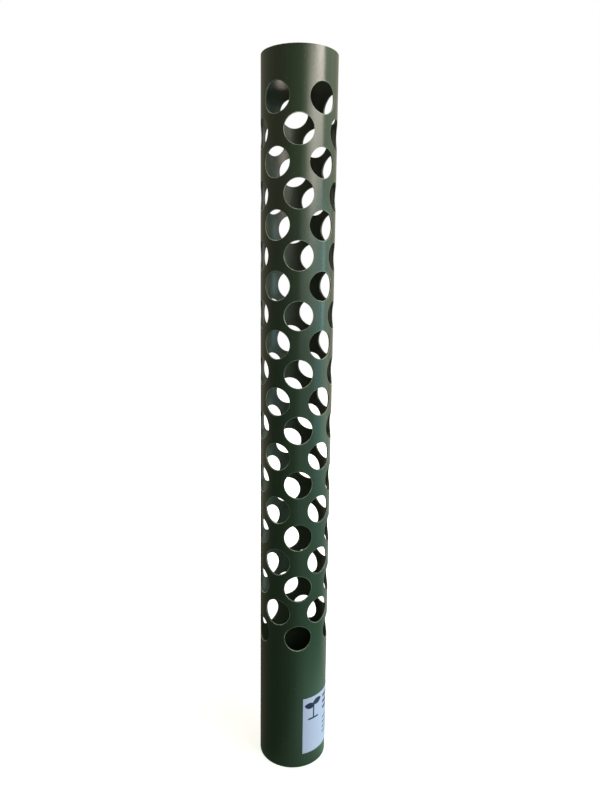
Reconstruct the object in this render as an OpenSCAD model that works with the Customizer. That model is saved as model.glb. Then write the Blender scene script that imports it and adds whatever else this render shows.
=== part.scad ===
// Tree protection tube: a plastic pipe with rows of large drilled holes, stood over a young tree.
// The tube's axis is Z and its foot is at z = 0. Angles are counted from -Y towards +X.
// Millimetres and degrees.

/* [Tube] */
// Length of the tube from foot to top edge
tube_length = 1100; // [600:50:1800]
// Outside diameter of the tube
tube_od = 110; // [100:5:160]
// Thickness of the tube's wall
tube_wall = 2.6; // [1.8:0.2:5]

/* [Drilled holes] */
// Diameter of every drilled hole
hole_d = 42; // [20:1:44]
// Number of holes in one row
row_holes = 5; // [3:1:5]
// Angle left open between the last hole of a row and its first
closing_angle = 60; // [58:1:75]
// Distance from one row of holes to the next
row_pitch = 42.25; // [41:0.25:60]
// Angle of the first hole in the rows that aren't turned
first_angle = -75; // [-180:1:180]
// Angle by which every other row is turned, starting with the top one
row_turn = 38.5; // [35:0.5:41]
// Further turn from each row to the next one down, left by the drilling jig
row_drift = 0.4; // [-1:0.1:1]
// Distance from the top edge down to the middle of the first row
top_margin = 65; // [30:1:150]
// Height of the band above the foot that is kept free of holes
foot_band = 205; // [150:5:400]

/* [Label] */
// Length of the label, round the tube
label_length = 150; // [60:5:200]
// Height of the label, along the tube
label_height = 100; // [40:5:120]
// Thickness of the label's film
label_film = 0.2; // [0.1:0.05:0.4]
// Thickness of the adhesive between the tube and the film
glue_gap = 0.1; // [0.05:0.05:0.2]
// Distance from the foot up to the label's lower edge
label_lift = 24; // [5:1:60]
// Angle of the label's left edge
label_angle = 17.5; // [-180:0.5:180]

/* [Hidden] */

// How far a cutter runs past the face it cuts
cut_past = 5;
tube_r = tube_od / 2;
bore_r = tube_r - tube_wall;
// Where a drill starts: just inside the bore's wall, as that wall curves in at the hole's sides
drill_start = sqrt(bore_r * bore_r - hole_d * hole_d / 4) - cut_past;
hole_step = (360 - closing_angle) / (row_holes - 1);
drilled_height = tube_length - top_margin - hole_d / 2 - foot_band;
row_count = max(1, floor(drilled_height / row_pitch) + 1);
label_r = tube_r + glue_gap;
label_sweep = label_length / label_r * 180 / PI;

// Angle of one hole: the even rows, counted from 0 at the top, are the turned ones
function hole_angle(row, hole) =
    first_angle + hole * hole_step + row * row_drift + (row % 2 == 0 ? row_turn : 0);

// Height of a row's middle above the foot
function row_height(row) = tube_length - top_margin - row * row_pitch;

// Turns what faces +X so that it faces the given angle, counted from -Y towards +X
module facing(angle) {
    rotate([0, 0, angle - 90]) children();
}

// The drill goes through one wall alone
module hole_drill(row, hole) {
    facing(hole_angle(row, hole))
        translate([drill_start, 0, row_height(row)])
            rotate([0, 90, 0])
                cylinder(h = tube_r + cut_past - drill_start, d = hole_d, $fn = 64);
}

// The pipe, sawn off square at both ends and drilled
module perforated_tube() {
    color([0.15, 0.24, 0.16])
        difference() {
            cylinder(h = tube_length, r = tube_r, $fn = 128);
            translate([0, 0, -cut_past])
                cylinder(h = tube_length + 2 * cut_past, r = bore_r, $fn = 128);
            for (row = [0 : row_count - 1], hole = [0 : row_holes - 1])
                hole_drill(row, hole);
        }
}

// The film label, stuck round the plain band above the foot
module label() {
    color([0.68, 0.76, 0.88])
        facing(label_angle)
            translate([0, 0, label_lift])
                rotate_extrude(angle = label_sweep, $fn = 128)
                    translate([label_r, 0])
                        square([label_film, label_height]);
}

perforated_tube();
label();
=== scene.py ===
import math

import bmesh
import bpy
from mathutils import Matrix, Vector, noise

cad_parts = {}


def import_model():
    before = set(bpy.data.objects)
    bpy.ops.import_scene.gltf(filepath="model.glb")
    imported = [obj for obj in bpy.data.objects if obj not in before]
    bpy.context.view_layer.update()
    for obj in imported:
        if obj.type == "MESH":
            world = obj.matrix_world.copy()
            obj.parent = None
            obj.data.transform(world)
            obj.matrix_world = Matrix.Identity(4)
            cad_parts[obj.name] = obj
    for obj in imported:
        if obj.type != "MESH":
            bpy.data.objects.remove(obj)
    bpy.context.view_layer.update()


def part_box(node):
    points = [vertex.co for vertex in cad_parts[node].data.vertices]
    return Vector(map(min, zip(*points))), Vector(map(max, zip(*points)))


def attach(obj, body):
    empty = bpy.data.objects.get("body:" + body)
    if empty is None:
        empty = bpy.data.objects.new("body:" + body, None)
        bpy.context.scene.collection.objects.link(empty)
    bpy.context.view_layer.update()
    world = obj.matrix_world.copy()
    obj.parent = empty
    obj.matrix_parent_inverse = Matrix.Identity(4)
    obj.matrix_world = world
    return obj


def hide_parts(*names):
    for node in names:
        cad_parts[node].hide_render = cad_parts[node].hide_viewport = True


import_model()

# The tree protection tube, dressed round its solids. Metres; angles in degrees, from -Y towards +X.

# Sizes of the drilled wall. The turned rows are every other one, starting with the top one, and
# TURNED_LEFT_OUT is the number of holes that they leave out at their end.
TUBE_LOW, TUBE_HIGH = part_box("perforated_tube")
TUBE_LENGTH = TUBE_HIGH.z
TUBE_RADIUS = (TUBE_HIGH.x - TUBE_LOW.x) / 2
WALL = 0.0026
BORE_RADIUS = TUBE_RADIUS - WALL
HOLE_RADIUS = 0.021
ROWS = 20
ROW_HOLES = 5
ROW_PITCH = 0.04225
TOP_MARGIN = 0.065
FIRST_ANGLE = -75.0
CLOSING_ANGLE = 60.0
ROW_TURN = 38.5
ROW_DRIFT = 0.4
TURNED_LEFT_OUT = 1
HOLE_STEP = (360 - CLOSING_ANGLE) / (ROW_HOLES - 1)

# Broken edges. EDGE_BREAK is their depth; their width is EDGE_BREAK times a number that swings about
# BREAK_MIDDLE by up to BREAK_SWING. The last of them is the width of a band of skin round each hole
# that is painted a little paler: partly scuffed, partly a painted highlight.
EDGE_BREAK = 0.00045
BREAK_MIDDLE = 0.8
BREAK_SWING = 0.3
SCUFF_AND_HIGHLIGHT_WIDTH = 0.0005

# The noise that makes the edges uneven: how far it reaches, and its steps from row to row, from
# hole to hole and round a sawn end, so that no two edges are alike
NOISE_REACH = 1.6
ROW_NOISE = 3.7
HOLE_NOISE = 1.9
SAW_NOISE = 9.0

# Sizes of the label
LABEL_LOW, LABEL_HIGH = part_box("label")
LABEL_HEIGHT = LABEL_HIGH.z - LABEL_LOW.z
LABEL_LENGTH = 0.150
LABEL_FILM = 0.0002
GLUE_GAP = 0.0001
LABEL_RADIUS = TUBE_RADIUS + GLUE_GAP
LABEL_ANGLE = 17.5

# The label's print, measured from the label's lower left corner: a seedling, and two blocks of plain
# bars like a heading and a text. The seedling's two leaves, each where two discs overlap, its stem
# and its soil are placed from its middle. Stem, soil and bars are given by their half sizes, and
# every other bar of the text is shorter by twice SHORT_BAR.
PRINT_FADE = 0.0001
SEEDLING_X = 0.0200
SEEDLING_Y = 0.0775
LEAF_DISC = 0.0115
LEFT_LEAF = ((-0.0085, 0.0015), (-0.0065, 0.0135))
RIGHT_LEAF = ((0.0085, 0.0055), (0.0065, 0.0175))
STEM_DROP, STEM_SIZE = 0.0045, (0.0013, 0.0125)
SOIL_DROP, SOIL_SIZE = 0.0165, (0.0105, 0.0015)
HEAD_BARS, HEAD_PITCH = 3, 0.0110
HEAD_X, HEAD_Y = 0.0870, 0.0885
HEAD_SIZE = (0.0440, 0.0026)
TEXT_BARS, TEXT_PITCH = 4, 0.0090
TEXT_LEFT, TEXT_Y = 0.0430, 0.0480
TEXT_SIZE = (0.0440, 0.0013)
SHORT_BAR = 0.0060

# The light: a dim room, a soft lamp on its ceiling, and soft lamps that face the tube. Each of
# these has a name, its first and last angle, its lowest and highest edge, and its radiance in red,
# green and blue.
ROOM_RADIUS = 2.4
ROOM_HEIGHT = 3.2
ROOM_LIFT = 0.001
FLOOR_RADIUS = 12.0
CEILING_SIDE = 2.4
CEILING_RADIANCE = (4.4, 4.4, 4.0)
CEILING_PLACE = (-1.5, 1.1, 3.0)
LAMP_DISTANCE = 1.8
LAMPS = [
    ("window_sky", 50, 77, 1.70, 1.75, (67.0, 62.0, 56.5)),
    ("window_head", 44, 76, 1.62, 1.70, (2.6, 2.0, 1.9)),
    ("window_top_far", 59, 76, 1.45, 1.62, (12.8, 11.2, 10.1)),
    ("window_top_middle", 44, 59, 1.45, 1.62, (10.8, 10.0, 8.8)),
    ("window_top_near", 34, 44, 1.45, 1.68, (8.6, 7.9, 7.0)),
    ("window_top_edge", 24, 34, 1.45, 1.68, (4.0, 4.0, 3.5)),
    ("window_far", 54, 75, 1.14, 1.45, (6.4, 5.9, 5.3)),
    ("window_middle", 36, 54, 1.06, 1.45, (8.4, 7.8, 6.9)),
    ("window_near", 24, 36, 1.12, 1.45, (4.9, 4.6, 3.9)),
    ("window_edge", 10, 24, 1.12, 1.68, (0.4, 0.4, 0.3)),
    ("above_far", 60, 80, 1.68, 2.40, (1.5, 1.4, 1.3)),
    ("above_near", 10, 60, 1.68, 2.40, (0.7, 0.5, 0.3)),
    ("sill_far", 60, 80, 0.60, 1.14, (1.4, 1.95, 2.05)),
    ("sill_middle", 36, 60, 0.60, 1.06, (1.3, 1.9, 1.65)),
    ("sill_near", 10, 36, 0.60, 1.12, (1.0, 1.2, 1.0)),
    ("below_far", 60, 80, 0.05, 0.60, (0.5, 1.1, 1.3)),
    ("below_near", 10, 60, 0.05, 0.60, (0.25, 0.28, 0.3)),
    ("sky_strip", 82, 90, 0.55, 0.98, (2.4, 4.5, 4.8)),
    ("side_wall", 82, 120, 1.10, 2.40, (0.67, 0.73, 0.57)),
    ("side_wall_top", 80, 112, 1.72, 1.80, (1.2, 1.2, 1.0)),
    ("side_wall_foot", 82, 100, 0.00, 1.10, (0.9, 1.3, 1.15)),
    ("corner_foot", 100, 120, 0.00, 1.10, (0.9, 1.25, 1.05)),
    ("back_wall", 120, 160, 0.00, 2.40, (0.4, 0.32, 0.28)),
]

# The dim room as the tube mirrors it, in linear colours: its walls, and its ground to the right and
# to the left of the tube
FRONT_WALL_LOW = (0.09, 0.08, 0.08, 1)
FRONT_WALL_HIGH = (0.24, 0.18, 0.12, 1)
BACK_WALL = (0.31, 0.26, 0.20, 1)
RIGHT_AT_FOOT = (0.80, 1.32, 1.00, 1)
RIGHT_NEAR = (0.14, 0.33, 0.24, 1)
RIGHT_FAR = (0.25, 0.43, 0.36, 1)
RIGHT_BESIDE = (0.38, 0.68, 0.60, 1)
RIGHT_BEHIND = (0.54, 0.64, 0.56, 1)
LEFT_NEAR = (0.14, 0.12, 0.09, 1)
LEFT_FAR = (0.35, 0.31, 0.24, 1)
LEFT_FRONT = (0.06, 0.09, 0.05, 1)

# Fineness of the meshes: steps along one side of a cell and round it, rings from the outline of a
# plain cell to its middle, steps along the label, and the least angle of an edge that stays sharp.
# MERGE_GAP is how near two points are that become one, and FACE_GAP how near to the skin or the
# lining a point is that lies on it.
SIDE_STEPS = 12
RING_STEPS = 4 * SIDE_STEPS
PLAIN_RINGS = 8
LABEL_STEPS = 60
SHARP_ANGLE = 25
MERGE_GAP = 1e-6
FACE_GAP = 1e-5


def srgb(red, green, blue):
    """The linear colour of one given in 0 to 255, as a picture stores it."""
    def linear(part):
        part /= 255
        return part / 12.92 if part <= 0.04045 else ((part + 0.055) / 1.055) ** 2.4
    return linear(red), linear(green), linear(blue), 1.0


def facing(angle, radius, height):
    """The point at an angle, a distance from the tube's axis and a height."""
    turn = math.radians(angle)
    return Vector((radius * math.sin(turn), -radius * math.cos(turn), height))


class Value:
    """A socket of a material that takes Python's arithmetic: each step adds a Math node."""

    def __init__(self, shader, socket):
        self.shader = shader
        self.socket = socket

    def other(self, name):
        """Another output of the same node."""
        return Value(self.shader, self.socket.node.outputs[name])

    def math(self, operation, *others):
        """One step of arithmetic on this value and others."""
        return self.shader.node("Math", {"operation": operation}, dict(enumerate((self, *others))))

    def __add__(self, other):
        return self.math("ADD", other)

    __radd__ = __add__

    def __mul__(self, other):
        return self.math("MULTIPLY", other)

    __rmul__ = __mul__

    def __sub__(self, other):
        return self.math("SUBTRACT", other)

    def __rsub__(self, other):
        return self.shader.node("Math", {"operation": "SUBTRACT"}, {0: other, 1: self})

    def __truediv__(self, other):
        return self.math("DIVIDE", other)

    def ramp(self, low, high):
        """0 below low, 1 above high, and a smooth change between them."""
        return self.shader.node("MapRange", {"interpolation_type": "SMOOTHSTEP"},
                                {"Value": self, "From Min": low, "From Max": high})

    def most(self, other):
        """The larger of the two."""
        return self.math("MAXIMUM", other)

    def size(self):
        """The value without its sign."""
        return self.math("ABSOLUTE")


class Shader:
    """The nodes of a material or of the world."""

    def __init__(self, owner):
        owner.use_nodes = True
        self.owner = owner
        self.tree = owner.node_tree
        self.tree.nodes.clear()

    def node(self, kind, settings=None, inputs=None, output=0):
        """Adds a node: its settings come first, then its sockets' values or links."""
        made = self.tree.nodes.new("ShaderNode" + kind)
        for name, setting in (settings or {}).items():
            setattr(made, name, setting)
        for name, value in (inputs or {}).items():
            if isinstance(value, Value):
                self.tree.links.new(value.socket, made.inputs[name])
            else:
                made.inputs[name].default_value = value
        return Value(self, made.outputs[output]) if made.outputs else None

    def place(self):
        """Object coordinates."""
        return self.node("TexCoord", output="Object")

    def attribute(self, name):
        """A mark that the mesh carries on its faces, from 0 to 1."""
        return self.node("Attribute", {"attribute_name": name}, output="Fac")

    def noise(self, place, scale, detail=3.0, roughness=0.5):
        """Noise in 0 to 1; scale is the number of patches in a metre, along each axis."""
        spot = self.node("Mapping", {"vector_type": "POINT"}, {"Vector": place, "Scale": scale})
        return self.node("TexNoise", {}, {"Vector": spot, "Scale": 1.0, "Detail": detail,
                                          "Roughness": roughness})

    def blend(self, amount, first, second):
        """A colour mixed from two by an amount from 0 to 1."""
        return self.node("Mix", {"data_type": "RGBA"},
                         {"Factor": amount, 6: first, 7: second}, output=2)

    def bump(self, height, distance, strength, below=None):
        """A normal for a relief, laid over the normal of a coarser one below."""
        inputs = {"Height": height, "Distance": distance, "Strength": strength}
        if below is not None:
            inputs["Normal"] = below
        return self.node("Bump", {}, inputs)

    def finish(self, kind, values):
        """Ends the material with one shader."""
        self.node("OutputMaterial", {}, {"Surface": self.node(kind, {}, values)})
        return self.owner


def green_pvc():
    """Dark green pipe: satin skin with die streaks and scuffs; dull where it was sawn or drilled; its
    rims painted paler, partly whitened plastic and partly a painted highlight.
    """
    shader = Shader(bpy.data.materials.new("green_pvc"))
    place = shader.place()
    cut = shader.attribute("cut")
    edge = shader.attribute("edge")
    inside = shader.attribute("inside")

    streaks = shader.noise(place, (260.0, 260.0, 3.0), detail=2.0)
    clouds = shader.noise(place, (14.0, 14.0, 5.0), detail=4.0)
    dust = shader.noise(place, (90.0, 90.0, 60.0), detail=5.0, roughness=0.65)
    scratches = shader.noise(place, (480.0, 480.0, 12.0), detail=1.0).ramp(0.70, 0.80)
    scratches = scratches * shader.noise(place, (9.0, 9.0, 9.0)).ramp(0.52, 0.66)
    grain = shader.noise(place, (900.0, 900.0, 900.0), detail=2.0)
    patchy = shader.noise(place, (45.0, 45.0, 45.0), detail=2.0).ramp(0.38, 0.62)
    saw_marks = shader.noise(place, (700.0, 700.0, 250.0), detail=2.0)

    skin = shader.blend(clouds, srgb(38, 56, 43), srgb(43, 62, 48))
    skin = shader.blend(streaks.ramp(0.35, 0.75) * 0.2, skin, srgb(52, 70, 57))
    skin = shader.blend(dust.ramp(0.55, 0.85) * 0.06, skin, srgb(110, 116, 102))
    skin = shader.blend(scratches * 0.05, skin, srgb(120, 130, 114))
    raw = shader.blend(saw_marks, srgb(34, 48, 37), srgb(50, 66, 54))
    # Paler colour of the rims: partly stress-whitened plastic, partly a painted highlight.
    whitened_and_highlight = shader.blend(grain, srgb(152, 170, 155), srgb(188, 202, 189))
    skin = shader.blend(inside * 0.7, skin, srgb(41, 48, 39))
    colour = shader.blend(cut, skin, raw)
    # Broken edges, and the band round each hole, are painted paler in patches: partly whitening,
    # partly a painted highlight.
    colour = shader.blend(edge * (0.35 + patchy * 0.65), colour, whitened_and_highlight)

    roughness = 0.21 + clouds * 0.04 + streaks * 0.04 + dust.ramp(0.5, 0.9) * 0.06
    roughness = roughness + scratches * 0.1 + inside * 0.08 + cut * 0.2 + edge * 0.15

    relief = shader.bump(streaks, 0.00005, 0.6)
    relief = shader.bump(grain * 0.4 + saw_marks * cut * 2.0 - scratches * 0.2, 0.00003, 0.5, relief)
    return shader.finish("BsdfPrincipled", {"Base Color": colour, "Roughness": roughness,
                                            "IOR": 1.53, "Normal": relief})


def label_film():
    """Pale blue film with a navy seedling and plain bars; its UV map is in metres."""
    shader = Shader(bpy.data.materials.new("label_film"))
    across = shader.node("SeparateXYZ", {}, {"Vector": shader.node("UVMap", {"uv_map": "label"})})
    up = across.other("Y")
    place = shader.place()

    def within(distance, reach):
        """1 up to a reach and 0 beyond it, with a narrow fade between them."""
        return 1 - distance.ramp(reach - PRINT_FADE, reach + PRINT_FADE)

    def disc(x, y):
        spot = shader.node("CombineXYZ", {}, {"X": across - x, "Y": up - y})
        far = shader.node("VectorMath", {"operation": "LENGTH"}, {0: spot}, output="Value")
        return within(far, LEAF_DISC)

    def leaf(discs):
        """The overlap of two discs, placed from the seedling's middle."""
        (x, y), (other_x, other_y) = discs
        return (disc(SEEDLING_X + x, SEEDLING_Y + y)
                * disc(SEEDLING_X + other_x, SEEDLING_Y + other_y))

    def bar(x, y, half_width, half_height):
        return within((across - x).size(), half_width) * within((up - y).size(), half_height)

    stem = bar(SEEDLING_X, SEEDLING_Y - STEM_DROP, *STEM_SIZE)
    soil = bar(SEEDLING_X, SEEDLING_Y - SOIL_DROP, *SOIL_SIZE)
    print_mask = leaf(LEFT_LEAF).most(leaf(RIGHT_LEAF)).most(stem).most(soil)
    for line in range(HEAD_BARS):
        print_mask = print_mask.most(bar(HEAD_X, HEAD_Y - line * HEAD_PITCH, *HEAD_SIZE))
    for line in range(TEXT_BARS):
        half = TEXT_SIZE[0] - SHORT_BAR * (line % 2)
        middle = TEXT_LEFT + half
        print_mask = print_mask.most(bar(middle, TEXT_Y - line * TEXT_PITCH, half, TEXT_SIZE[1]))

    fibres = shader.noise(place, (500.0, 500.0, 500.0), detail=3.0)
    clouds = shader.noise(place, (25.0, 25.0, 25.0), detail=3.0)
    film = shader.blend(clouds, srgb(187, 192, 237), srgb(196, 200, 241))
    worn_ink = print_mask * (1 - fibres.ramp(0.62, 0.75) * 0.3)
    colour = shader.blend(worn_ink, film, srgb(10, 13, 70))
    roughness = 0.42 + clouds * 0.08 - print_mask * 0.08
    relief = shader.bump(clouds, 0.0004, 0.25)
    relief = shader.bump(fibres, 0.00002, 0.4, relief)
    return shader.finish("BsdfPrincipled", {"Base Color": colour, "Roughness": roughness,
                                            "IOR": 1.42, "Normal": relief})


def hole_angle(row, hole):
    """Angle of a hole; a hole's number may run past either end of its row, round the tube."""
    turns, place = divmod(hole, ROW_HOLES)
    turned = ROW_TURN if row % 2 == 0 else 0.0
    return FIRST_ANGLE + place * HOLE_STEP + turns * 360 + row * ROW_DRIFT + turned


def row_height(row):
    """Height of a row's middle above the foot."""
    return TUBE_LENGTH - TOP_MARGIN - row * ROW_PITCH


def web(row, hole):
    """The middle of the web between a hole and the next one of its row: angle and height."""
    return (hole_angle(row, hole) + hole_angle(row, hole + 1)) / 2, row_height(row)


def between(near, far, share):
    """The point a share of the way from one point of the wall to another: angle and height."""
    return tuple(start + (end - start) * share for start, end in zip(near, far))


def mixed(first, second, share):
    """Points a share of the way from one outline to another."""
    return [between(near, far, share) for near, far in zip(first, second)]


def cell_outline(row, hole):
    """Points round the four-sided cell of wall that holds one hole, from its top corner."""
    beside = hole if row % 2 == 0 else hole - 1
    corners = (web(row - 1, beside), web(row, hole), web(row + 1, beside), web(row, hole - 1))
    points = []
    for number, corner in enumerate(corners):
        next_corner = corners[(number + 1) % len(corners)]
        points += [between(corner, next_corner, step / SIDE_STEPS) for step in range(SIDE_STEPS)]
    return points


def uneven(*place):
    """How far an edge is broken at a place, as a share of EDGE_BREAK that changes smoothly."""
    swing = max(-1.0, min(1.0, NOISE_REACH * noise.noise(Vector(place))))
    return BREAK_MIDDLE + BREAK_SWING * swing


def hole_outline(row, hole, broken, depth):
    """Points round a hole, at a depth below the skin; broken edges stand back from the drill's cut."""
    points = []
    for step in range(RING_STEPS):
        turn = math.tau * step / RING_STEPS
        radius = HOLE_RADIUS
        if broken:
            start = row * ROW_NOISE + hole * HOLE_NOISE
            radius += EDGE_BREAK * uneven(math.sin(turn), math.cos(turn), start)
        aside = math.asin(radius * math.sin(turn) / (TUBE_RADIUS - depth))
        points.append((hole_angle(row, hole) + math.degrees(aside),
                       row_height(row) + radius * math.cos(turn)))
    return points


def stepped_back(edge, outline, distance):
    """Moves each point of a hole's edge a distance towards the cell's outline, or half-way."""
    points = []
    for near, far in zip(edge, outline):
        gap = math.hypot(math.radians(far[0] - near[0]) * TUBE_RADIUS, far[1] - near[1])
        points.append(between(near, far, min(0.5, distance / gap)))
    return points


def mark(bm, faces, **marks):
    """Notes on faces how far they are a cut, a broken edge or the inside, for the material."""
    for name, amount in marks.items():
        layer = bm.faces.layers.float[name]
        for face in faces:
            face[layer] = amount


def inset_rings(bm, rings):
    """Insets a face ring by ring, and returns what is left of it in the middle. Each ring has its
    points, its depth below the skin, and the marks of the faces that lead to it."""
    circle = bmesh.ops.create_circle(bm, cap_ends=True, segments=RING_STEPS, radius=HOLE_RADIUS)
    face = circle["verts"][0].link_faces[0]
    for number, (points, depth, marks) in enumerate(rings):
        if number:
            made = bmesh.ops.inset_individual(bm, faces=[face], thickness=0.0)
            mark(bm, made["faces"], **marks)
        for vert, (angle, height) in zip(face.verts, points):
            vert.co = facing(angle, TUBE_RADIUS - depth, height)
    return face


def add_drilled_cell(bm, row, hole):
    """One cell of the wall: its skin, the broken edges, the drilled wall and its inner face."""
    outline = cell_outline(row, hole)
    outer_edge = hole_outline(row, hole, True, 0.0)
    inner_edge = hole_outline(row, hole, True, WALL)
    middle = inset_rings(bm, [
        (outline, 0.0, {}),
        (mixed(outline, outer_edge, 0.5), 0.0, {}),
        # The band and the broken edges marked here are painted paler in the material: partly
        # whitening, partly a painted highlight.
        (stepped_back(outer_edge, outline, SCUFF_AND_HIGHLIGHT_WIDTH), 0.0, {}),
        (outer_edge, 0.0, {"edge": 0.3}),
        (hole_outline(row, hole, False, EDGE_BREAK), EDGE_BREAK, {"edge": 1.0}),
        (hole_outline(row, hole, False, WALL - EDGE_BREAK), WALL - EDGE_BREAK, {"cut": 1.0}),
        (inner_edge, WALL, {"cut": 1.0}),
        (mixed(inner_edge, outline, 0.5), WALL, {"inside": 1.0}),
        (outline, WALL, {"inside": 1.0}),
    ])
    bmesh.ops.delete(bm, geom=[middle], context="FACES_ONLY")


def add_plain_cell(bm, row, hole):
    """One cell of the wall that isn't drilled: its skin and its inner face, in rings to the middle."""
    outline = cell_outline(row, hole)
    angle = hole_angle(row, hole)
    height = row_height(row)
    centre = [(angle, height)] * RING_STEPS
    for depth, marks in ((0.0, {}), (WALL, {"inside": 1.0})):
        middle = inset_rings(bm, [(mixed(outline, centre, ring / PLAIN_RINGS), depth, marks)
                                  for ring in range(PLAIN_RINGS)])
        made = bmesh.ops.poke(bm, faces=[middle])
        mark(bm, made["faces"], **marks)
        made["verts"][0].co = facing(angle, TUBE_RADIUS - depth, height)


def is_drilled(row, hole):
    """True for every hole but those that the turned rows leave out at their end."""
    return row % 2 == 1 or hole < ROW_HOLES - TURNED_LEFT_OUT


def extrude_to(bm, edges, radius, end, inset, **marks):
    """Extrudes a ring of edges to a radius, and up to a sawn end or an uneven inset short of it."""
    made = bmesh.ops.extrude_edge_only(bm, edges=edges)["geom"]
    mark(bm, [part for part in made if isinstance(part, bmesh.types.BMFace)], **marks)
    for vert in (part for part in made if isinstance(part, bmesh.types.BMVert)):
        outwards = Vector((vert.co.x, vert.co.y, 0)).normalized()
        short = inset * uneven(outwards.x * SAW_NOISE, outwards.y * SAW_NOISE, end)
        vert.co = outwards * radius + Vector((0, 0, end + short))
    return [part for part in made if isinstance(part, bmesh.types.BMEdge)]


def add_plain_band(bm, end, inwards):
    """The plain band between the drilled rows and one sawn end; inwards is the way back along Z."""
    middle = TUBE_LENGTH / 2
    ragged = [edge for edge in bm.edges if edge.is_boundary
              and (edge.verts[0].co.z > middle) == (end > middle)]
    skin = [edge for edge in ragged if edge.verts[0].co.xy.length > TUBE_RADIUS - WALL / 2]
    lining = [edge for edge in ragged if edge not in skin]
    inset = inwards * EDGE_BREAK
    ring = extrude_to(bm, skin, TUBE_RADIUS, end, inset)
    ring = extrude_to(bm, ring, TUBE_RADIUS - EDGE_BREAK, end, 0, edge=0.8)
    ring = extrude_to(bm, ring, BORE_RADIUS + EDGE_BREAK, end, 0, cut=1.0)
    extrude_to(bm, ring, BORE_RADIUS, end, inset, edge=0.5)
    extrude_to(bm, lining, BORE_RADIUS, end, inset, inside=1.0)


def smooth_shading(bm):
    """Shades all faces smooth, but keeps the sharp edges between them."""
    for face in bm.faces:
        face.smooth = True
    for edge in bm.edges:
        edge.smooth = edge.calc_face_angle(0.0) < math.radians(SHARP_ANGLE)


def mesh_of(name, bm):
    """Ends a bmesh as a mesh."""
    mesh = bpy.data.meshes.new(name)
    bm.to_mesh(mesh)
    bm.free()
    return mesh


def added(name, data):
    """A new object of the scene that holds a mesh, a lamp or a camera."""
    made = bpy.data.objects.new(name, data)
    bpy.context.scene.collection.objects.link(made)
    return made


def piece(name, mesh, material, node):
    """Makes an object of a mesh that stands for a CAD node."""
    made = added(name, mesh)
    mesh.materials.append(material)
    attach(made, "root")
    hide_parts(node)


def stage_piece(name, bm, material):
    """Makes an object that isn't part of the tube."""
    mesh = mesh_of(name, bm)
    mesh.materials.append(material)
    made = added(name, mesh)
    return made


def round_normals(mesh):
    """Shades the skin and the lining as the true cylinders that they are."""
    normals = []
    for polygon in mesh.polygons:
        spots = [mesh.vertices[number].co for number in polygon.vertices]
        on_skin = all(abs(spot.xy.length - TUBE_RADIUS) < FACE_GAP for spot in spots)
        on_lining = all(abs(spot.xy.length - BORE_RADIUS) < FACE_GAP for spot in spots)
        for spot in spots:
            way = Vector((spot.x, spot.y, 0)).normalized()
            normals.append(way if on_skin else -way if on_lining else Vector((0, 0, 0)))
    mesh.normals_split_custom_set(normals)


def perforated_tube():
    """The pipe: a cell of wall round each hole, and a plain band up to each sawn end."""
    bm = bmesh.new()
    for name in ("cut", "edge", "inside"):
        bm.faces.layers.float.new(name)
    for row in range(ROWS):
        for hole in range(ROW_HOLES):
            if is_drilled(row, hole):
                add_drilled_cell(bm, row, hole)
            else:
                add_plain_cell(bm, row, hole)
    bmesh.ops.remove_doubles(bm, verts=bm.verts, dist=MERGE_GAP)
    add_plain_band(bm, TUBE_LENGTH, -1)
    add_plain_band(bm, 0.0, 1)
    bmesh.ops.remove_doubles(bm, verts=bm.verts, dist=MERGE_GAP)
    bmesh.ops.recalc_face_normals(bm, faces=bm.faces)
    smooth_shading(bm)
    mesh = mesh_of("drilled_pipe", bm)
    round_normals(mesh)
    piece("drilled_pipe", mesh, green_pvc(), "perforated_tube")


def label():
    """The film: a flat sheet with a UV map in metres, wrapped round the tube."""
    bm = bmesh.new()
    uv = bm.loops.layers.uv.new("label")
    bmesh.ops.create_grid(bm, x_segments=LABEL_STEPS, y_segments=1, size=0.5)
    for vert in bm.verts:
        vert.co = Vector(((vert.co.x + 0.5) * LABEL_LENGTH, 0, (vert.co.y + 0.5) * LABEL_HEIGHT))
    for face in bm.faces:
        for loop in face.loops:
            loop[uv].uv = (loop.vert.co.x, loop.vert.co.z)
    bmesh.ops.recalc_face_normals(bm, faces=bm.faces)
    shell = bmesh.ops.extrude_face_region(bm, geom=bm.faces[:])["geom"]
    front = {element for element in shell if isinstance(element, bmesh.types.BMVert)}
    for vert in bm.verts:
        radius = LABEL_RADIUS + (LABEL_FILM if vert in front else 0.0)
        angle = LABEL_ANGLE + math.degrees(vert.co.x / LABEL_RADIUS)
        vert.co = facing(angle, radius, LABEL_LOW.z + vert.co.z)
    bmesh.ops.recalc_face_normals(bm, faces=bm.faces)
    smooth_shading(bm)
    mesh = mesh_of("printed_label", bm)
    piece("printed_label", mesh, label_film(), "label")


def seen(shader):
    """1 for what the camera sees, also in metal and glass, and 0 for light on its way."""
    path = shader.node("LightPath", output="Is Camera Ray")
    return path.most(path.other("Is Glossy Ray")).most(path.other("Is Transmission Ray"))


def floor():
    """A plain pale floor that goes over into the white background and takes a soft shadow."""
    shader = Shader(bpy.data.materials.new("pale_floor"))
    far = shader.node("VectorMath", {"operation": "LENGTH"}, {0: shader.place()}, output="Value")
    glow = 0.45 + far.ramp(0.15, 1.1) * 0.55
    white = shader.blend(seen(shader) * glow, (0, 0, 0, 1), (1, 1, 1, 1))
    pale = shader.finish("BsdfPrincipled", {"Base Color": srgb(240, 240, 240), "Roughness": 0.9,
                                            "Specular IOR Level": 0.0, "Emission Color": white,
                                            "Emission Strength": 1.0})
    bm = bmesh.new()
    bmesh.ops.create_circle(bm, cap_ends=True, segments=64, radius=FLOOR_RADIUS)
    stage_piece("floor", bm, pale)


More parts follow.
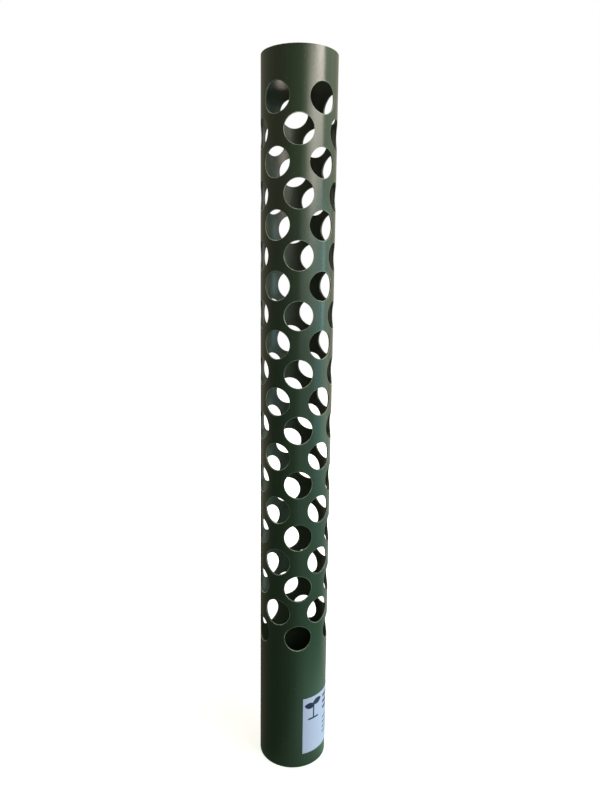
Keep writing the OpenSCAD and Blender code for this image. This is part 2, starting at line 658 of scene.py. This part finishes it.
def room():
    """The dim room round the tube, which the tube's gloss mirrors and no view shows."""
    shader = Shader(bpy.data.materials.new("dim_room"))
    across = shader.node("SeparateXYZ", {}, {"Vector": shader.place()})
    along = across.other("Y")
    height = across.other("Z")
    away = shader.node("VectorMath", {"operation": "LENGTH"}, {0: shader.place()}, output="Value")
    behind = along / away
    at_foot = 1 - away.ramp(0.10, 0.45)
    far = away.ramp(0.5, 1.5)

    front_wall = shader.blend(height.ramp(0.4, 1.3), FRONT_WALL_LOW, FRONT_WALL_HIGH)
    wall = shader.blend(along.ramp(-0.9, 0.9), front_wall, BACK_WALL)
    right = shader.blend(away.ramp(0.35, 0.9), RIGHT_NEAR, RIGHT_FAR)
    right = shader.blend(at_foot, right, RIGHT_AT_FOOT)
    right = shader.blend(behind.ramp(-0.6, -0.2) * far, right, RIGHT_BESIDE)
    right = shader.blend(behind.ramp(0.0, 0.6), right, RIGHT_BEHIND)
    left = shader.blend(far, LEFT_NEAR, LEFT_FAR)
    left = shader.blend(behind.ramp(-0.35, 0.35), LEFT_FRONT, left)
    ground = shader.blend((across + at_foot * 0.05).ramp(-0.03, 0.27), left, right)
    dim = shader.finish("Emission", {"Color": shader.blend(height.ramp(0.0, 0.1), ground, wall),
                                     "Strength": 1.0})
    dim.cycles.emission_sampling = "NONE"
    bm = bmesh.new()
    bmesh.ops.create_cone(bm, cap_ends=True, segments=96, radius1=ROOM_RADIUS,
                          radius2=ROOM_RADIUS, depth=ROOM_HEIGHT,
                          matrix=Matrix.Translation((0, 0, ROOM_HEIGHT / 2 + ROOM_LIFT)))
    made = stage_piece("dim_room", bm, dim)
    made.visible_camera = False
    made.visible_transmission = False
    made.visible_shadow = False


def world():
    """White wherever the camera looks past the object and the floor."""
    bpy.context.scene.world = bpy.data.worlds.new("backdrop")
    shader = Shader(bpy.context.scene.world)
    white = shader.node("Background", {}, {"Color": (1, 1, 1, 1), "Strength": seen(shader)})
    shader.node("OutputWorld", {}, {"Surface": white})


def lamp(name, width, height, radiance, location, turn):
    """A soft rectangular lamp that the camera doesn't see; radiance 1 is paper white."""
    data = bpy.data.lights.new(name, "AREA")
    data.shape = "RECTANGLE"
    data.size = width
    data.size_y = height
    data.energy = math.pi * width * height * max(radiance)
    data.color = [part / max(radiance) for part in radiance]
    made = added(name, data)
    made.location = location
    made.rotation_euler = turn
    made.visible_camera = False


def lights():
    """The window to the right of the camera and the walls round it, and a lamp on the ceiling."""
    for name, first_angle, last_angle, low, high, radiance in LAMPS:
        angle = (first_angle + last_angle) / 2
        width = 2 * LAMP_DISTANCE * math.tan(math.radians(last_angle - first_angle) / 2)
        lamp(name, width, high - low, radiance, facing(angle, LAMP_DISTANCE, (low + high) / 2),
             (math.pi / 2, 0, math.radians(angle)))
    lamp("ceiling", CEILING_SIDE, CEILING_SIDE, CEILING_RADIANCE, CEILING_PLACE, (0, 0, 0))


def camera():
    """The photograph's camera: place and turn from the photograph, focal length in its pixels."""
    place = Vector((0.0, -0.9935, 0.7999))
    pitch, yaw, roll = math.radians(-11.018), math.radians(0.354), math.radians(0.688)
    focal_pixels = 652.0
    long_side_pixels = 800
    forward = Vector((math.sin(yaw) * math.cos(pitch), math.cos(yaw) * math.cos(pitch),
                      math.sin(pitch)))
    level = Vector((math.cos(yaw), -math.sin(yaw), 0))
    upright = level.cross(forward)
    right = level * math.cos(roll) + upright * math.sin(roll)
    up = upright * math.cos(roll) - level * math.sin(roll)
    data = bpy.data.cameras.new("camera")
    data.lens = focal_pixels / long_side_pixels * data.sensor_width
    made = added("camera", data)
    turn = Matrix((right, up, -forward)).transposed()
    made.matrix_world = Matrix.Translation(place) @ turn.to_4x4()
    bpy.context.scene.camera = made


camera()
world()
lights()
room()
floor()
perforated_tube()
label()
bpy.context.scene.view_settings.view_transform = "Standard"
